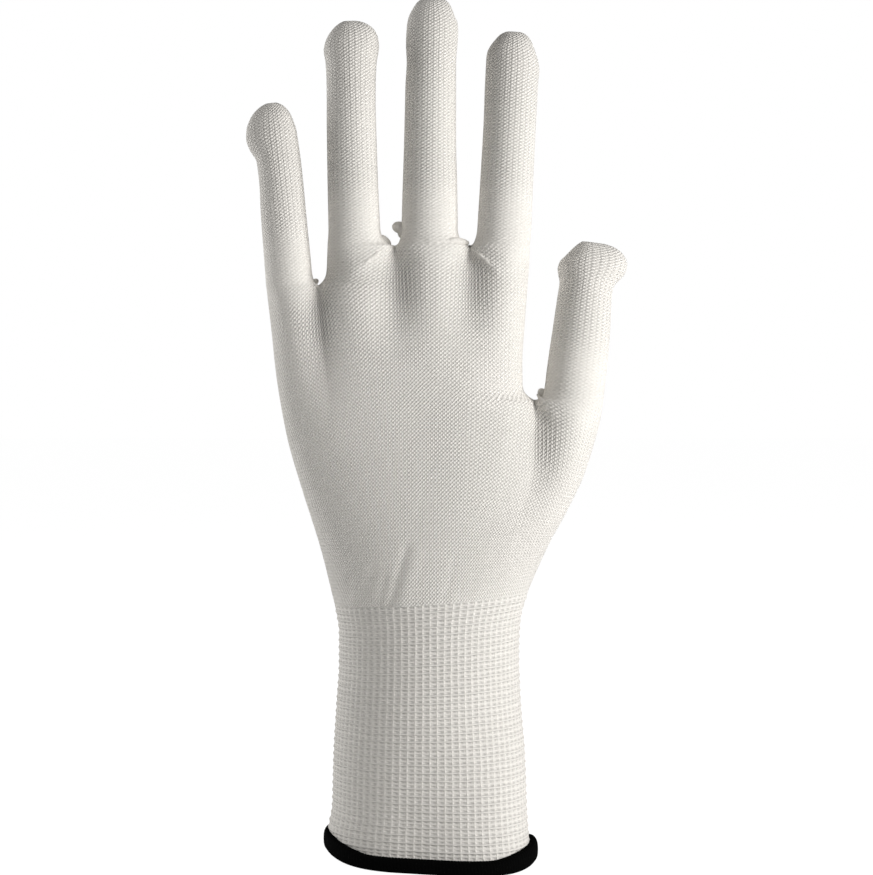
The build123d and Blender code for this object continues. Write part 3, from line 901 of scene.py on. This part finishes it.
def new_material(name):
    """Material with one Principled shader, and the graph to build on."""
    material = bpy.data.materials.new(name)
    material.use_nodes = True
    graph = Graph(material.node_tree)
    return material, graph, material.node_tree.nodes["Principled BSDF"]


def yarn_material(name, group, light, dark, relief_shade, hole_shade, depth):
    """Knitted yarn: the group gives relief and holes; colour goes from dark in them to light, as
    painted shade, over a random fibre mottle.
    """
    material, g, shader = new_material(name)
    place = g.add("ShaderNodeUVMap", {"uv_map": "stitches"})
    fibre = g.add("ShaderNodeTexCoord").outputs["Object"]
    wobble = g.add("ShaderNodeTexNoise", None, {"Vector": fibre, "Scale": 420.0, "Detail": 1.0})
    parts = g.add("ShaderNodeSeparateXYZ", None, {0: place.outputs[0]})
    u = g.maths("ADD", parts.outputs[0], g.maths("MULTIPLY_ADD", wobble.outputs[0], 0.16, -0.08))
    v = g.maths("ADD", parts.outputs[1], g.maths("MULTIPLY_ADD", wobble.outputs[0], -0.16, 0.08))
    amount = g.add("ShaderNodeAttribute", {"attribute_name": "openness"}).outputs["Fac"]
    stitch = g.add("ShaderNodeGroup", {"node_tree": group}, {"U": u, "V": v, "Open": amount})
    height = stitch.outputs["Height"]
    hole = stitch.outputs["Hole"]
    fluff = g.add("ShaderNodeTexNoise", None,
                  {"Vector": fibre, "Scale": 2600.0, "Detail": 3.0, "Roughness": 0.7})
    patch = g.add("ShaderNodeTexNoise", None, {"Vector": fibre, "Scale": 70.0, "Detail": 2.0})
    # Painted shade: the colour is darker where the stitch relief is low and lighter on the raised
    # yarn, plus a random fibre and patch mottle.
    tone = g.maths("MULTIPLY_ADD", g.maths("SUBTRACT", height, 0.5), relief_shade, 0.62)
    tone = g.maths("ADD", tone, g.maths("MULTIPLY_ADD", fluff.outputs[0], 0.24, -0.12))
    tone = g.maths("ADD", tone, g.maths("MULTIPLY_ADD", patch.outputs[0], 0.16, -0.08), clamp=True)
    colour = g.mix(tone, dark, light)
    # Painted shade in the gaps of the knit: the holes are mixed towards a dark grey.
    colour = g.mix(g.maths("MULTIPLY", hole, hole_shade), colour, (0.16, 0.15, 0.14, 1))
    rise = g.maths("ADD", height, g.maths("MULTIPLY", fluff.outputs[0], 0.08))
    bump = g.add("ShaderNodeBump", None, {"Strength": 1.0, "Distance": depth * MM, "Height": rise})
    g.feed(shader.inputs["Base Color"], colour)
    g.feed(shader.inputs["Normal"], bump.outputs[0])
    shader.inputs["Roughness"].default_value = 0.85
    shader.inputs["Specular IOR Level"].default_value = 0.25
    shader.inputs["Sheen Weight"].default_value = 0.12
    shader.inputs["Sheen Roughness"].default_value = 0.5
    return material


def thread_material(name, light, dark, scale, roughness, shine):
    """Plain thread: fine fibre mottle between two colours."""
    material, g, shader = new_material(name)
    fibre = g.add("ShaderNodeTexCoord").outputs["Object"]
    fluff = g.add("ShaderNodeTexNoise", None, {"Vector": fibre, "Scale": scale, "Detail": 3.0})
    colour = g.mix(fluff.outputs[0], dark, light)
    bump = g.add("ShaderNodeBump", None,
                 {"Strength": 0.6, "Distance": 0.15 * MM, "Height": fluff.outputs[0]})
    g.feed(shader.inputs["Base Color"], colour)
    g.feed(shader.inputs["Normal"], bump.outputs[0])
    shader.inputs["Roughness"].default_value = roughness
    shader.inputs["Specular IOR Level"].default_value = shine
    return material


# YARN_DARK is the dark end of the fibre mottle and, on the knit, of the painted shade in its low
# parts.
YARN_LIGHT = (0.87, 0.84, 0.79, 1)
YARN_DARK = (0.54, 0.515, 0.475, 1)
plain_knit = plain_knit_group()
rib_knit = rib_knit_group()
# Numbers after the colours: painted shade of the low relief, share of painted shade in the holes,
# bump depth in millimetres.
hand_yarn = yarn_material("hand_yarn", plain_knit, YARN_LIGHT, YARN_DARK, 0.66, 0.70, 0.36)
cuff_yarn = yarn_material("cuff_yarn", rib_knit, YARN_LIGHT, YARN_DARK, 0.18, 0.20, 0.42)
join_yarn = thread_material("join_yarn", YARN_LIGHT, YARN_DARK, 1500.0, 0.85, 0.25)
elastic_rubber = thread_material("elastic_rubber", (0.75, 0.73, 0.70, 1), (0.6, 0.58, 0.55, 1),
                                 900.0, 0.6, 0.0)
hem_thread = thread_material("hem_thread", (0.0022, 0.0022, 0.0022, 1),
                             (0.0008, 0.0008, 0.0008, 1), 1600.0, 0.85, 0.02)


def paint(piece, material):
    """Gives every face of a piece one material."""
    piece.data.materials.clear()
    piece.data.materials.append(material)


# Pieces; the hem and the crotch stitches go on their bodies

def metres(point):
    """Millimetre point as a plain tuple of metres."""
    return tuple(float(value) * MM for value in point)


def over_wrist(piece):
    """Bakes the piece's placement into its mesh."""
    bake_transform(piece)


hand = shell_piece("hand_shell", ["hand"])
paint(hand, hand_yarn)
over_wrist(hand)
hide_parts("five_finger_section", "four_finger_section", "three_finger_section",
            "wrist_fold_band")

cuff = build_cuff()
paint(cuff, cuff_yarn)
over_wrist(cuff)
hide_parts("cuff")

hem = build_hem()
paint(hem, hem_thread)
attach(hem, "cuff")
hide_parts("overlock_hem")

FOLD_AT = {
    "little": [7.5, 21.5, 37.5], "ring": [8.5, 25.5, 46.5], "middle": [9.5, 27.5, 51.0],
    "index": [8.5, 25.0, 44.0], "thumb": [9.5, 28.5],
}
FOLD_REACH = {"little": 7.0, "ring": 8.0, "middle": 8.0, "index": 8.0, "thumb": 9.0}
for stall in STALLS:
    last = len(stall.parts) - 2
    names = ["root", "lower", "middle", "end"] if last == 2 else ["root", "lower", "end"]
    folds = ["base", "middle", "tip"] if last == 2 else ["base", "tip"]
    for k in range(last + 1):
        piece = shell_piece(f"{stall.name}_stall_{folds[k]}", [f"{stall.name}_{k}"])
        paint(piece, hand_yarn)
        at = FOLD_AT[stall.name][k]
        reach = FOLD_REACH[stall.name]
        metres(stall.point(at - reach))
        metres(stall.point(at + reach))
        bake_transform(piece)
        replaced = [f"{stall.name}_{folds[k]}_fold_band", f"{stall.name}_{names[k + 1]}"]
        if k == 0:
            replaced.append(f"{stall.name}_root")
        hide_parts(*replaced)

CROTCH_SHAPES = {
    "little_ring_crotch_join": [
        seam_stitch([(-35.4, 173.0), (-33.6, 171.2), (-32.0, 170.0)], 0.7),
        bead((-35.6, 0.2, 172.4), (-33.6, 0.2, 173.8), 0.9)],
    "ring_middle_crotch_join": [
        bead((-15.6, 0, 186.9), (-11.9, 0, 183.6), 1.5),
        seam_stitch([(-12.6, 183.9), (-15.4, 181.6), (-19.0, 178.6), (-22.4, 176.0)], 0.75),
        bead((-6.6, 0.4, 188.8), (-11.4, 0.4, 190.0), 1.8),
        bead((-8.6, 0.2, 186.0), (-7.4, 0.2, 191.4), 1.7)],
    "middle_index_crotch_join": [
        bead((5.2, -6.0, 185.2), (11.8, -1.0, 184.6), 1.25),
        seam_stitch([(12.0, 183.0), (14.6, 180.9), (17.2, 178.5), (19.8, 176.2)], 0.75)],
    "thumb_crotch_join": [
        bead((32.8, 0, 140.9), (35.8, 0, 137.2), 1.5),
        seam_stitch([(32.2, 139.4), (33.6, 137.2), (35.0, 135.2), (36.4, 133.4)], 0.75)],
}
for node, shapes in CROTCH_SHAPES.items():
    piece = joined(node.replace("crotch_join", "crotch_stitches"), shapes)
    paint(piece, join_yarn)
    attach(piece, "hand")
    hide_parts(node)

elastic = build_elastic()
paint(elastic, elastic_rubber)
over_wrist(elastic)
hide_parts("cuff_elastic_threads")


# Stage, lights and camera

FLOOR_HALF = 4.0
CAMERA_DISTANCE = 0.600
CAMERA_HEIGHT = 0.145
AIM_HEIGHT = 0.12625
FOCAL_LENGTH = 81.9
SENSOR_WIDTH = 36.0


def area_light(name, place, aim, size, watts):
    """Square lamp at a place, aimed at a point."""
    lamp = bpy.data.lights.new(name, "AREA")
    lamp.size = size
    lamp.energy = watts
    made = bpy.data.objects.new(name, lamp)
    bpy.context.scene.collection.objects.link(made)
    made.location = place
    made.rotation_euler = aim_angles(np.array(place) - np.array(aim))


def aim_angles(back):
    """Rotation that turns a camera or lamp to look against the vector back."""
    x, y, z = back
    return (math.atan2(math.hypot(x, y), z), 0.0, math.atan2(x, -y))


centre = (0.0, 0.0, 0.13)
area_light("key", (0.84, -0.46, 0.30), centre, 0.45, 9.9)
area_light("fill", (-0.50, -0.50, 0.95), centre, 0.25, 1.2)
area_light("rim_left", (-0.75, 0.25, 0.30), centre, 0.6, 3.9)
area_light("rim_right", (0.60, 0.45, 0.25), centre, 0.5, 0.3)

world = bpy.data.worlds.new("studio")
bpy.context.scene.world = world
world.use_nodes = True
g = Graph(world.node_tree)
seen = g.add("ShaderNodeLightPath").outputs["Is Camera Ray"]
ambient = world.node_tree.nodes["Background"]
ambient.inputs["Color"].default_value = (1, 1, 1, 1)
ambient.inputs["Strength"].default_value = 0.13
backdrop = g.add("ShaderNodeBackground", None, {"Color": (1, 1, 1, 1), "Strength": 1.0})
choice = g.add("ShaderNodeMixShader", None, {0: seen})
g.tree.links.new(ambient.outputs[0], choice.inputs[1])
g.tree.links.new(backdrop.outputs[0], choice.inputs[2])
g.tree.links.new(choice.outputs[0], world.node_tree.nodes["World Output"].inputs[0])

floor_mesh = bpy.data.meshes.new("floor")
floor_mesh.from_pydata([(x * FLOOR_HALF, y * FLOOR_HALF, 0)
                        for x, y in ((-1, -1), (1, -1), (1, 1), (-1, 1))], [], [(0, 1, 2, 3)])
floor = bpy.data.objects.new("floor", floor_mesh)
bpy.context.scene.collection.objects.link(floor)
floor_material, g, shader = new_material("floor_white")
shader.inputs["Base Color"].default_value = (0.9, 0.9, 0.9, 1)
shader.inputs["Roughness"].default_value = 0.9
shader.inputs["Specular IOR Level"].default_value = 0.1
seen = g.add("ShaderNodeLightPath").outputs["Is Camera Ray"]
glow = g.add("ShaderNodeEmission", None, {"Color": (1, 1, 1, 1), "Strength": 1.15})
share = g.maths("MULTIPLY", seen, 0.85)
choice = g.add("ShaderNodeMixShader", None, {0: share})
g.tree.links.new(shader.outputs[0], choice.inputs[1])
g.tree.links.new(glow.outputs[0], choice.inputs[2])
g.tree.links.new(choice.outputs[0], g.tree.nodes["Material Output"].inputs[0])
paint(floor, floor_material)

camera_data = bpy.data.cameras.new("camera")
camera_data.lens = FOCAL_LENGTH
camera_data.sensor_width = SENSOR_WIDTH
camera = bpy.data.objects.new("camera", camera_data)
bpy.context.scene.collection.objects.link(camera)
camera.location = (0.00196, -CAMERA_DISTANCE, CAMERA_HEIGHT)
camera.rotation_euler = aim_angles(
    np.array([0.0, -CAMERA_DISTANCE, CAMERA_HEIGHT - AIM_HEIGHT]))
bpy.context.scene.camera = camera
bpy.context.scene.view_settings.view_transform = "Standard"
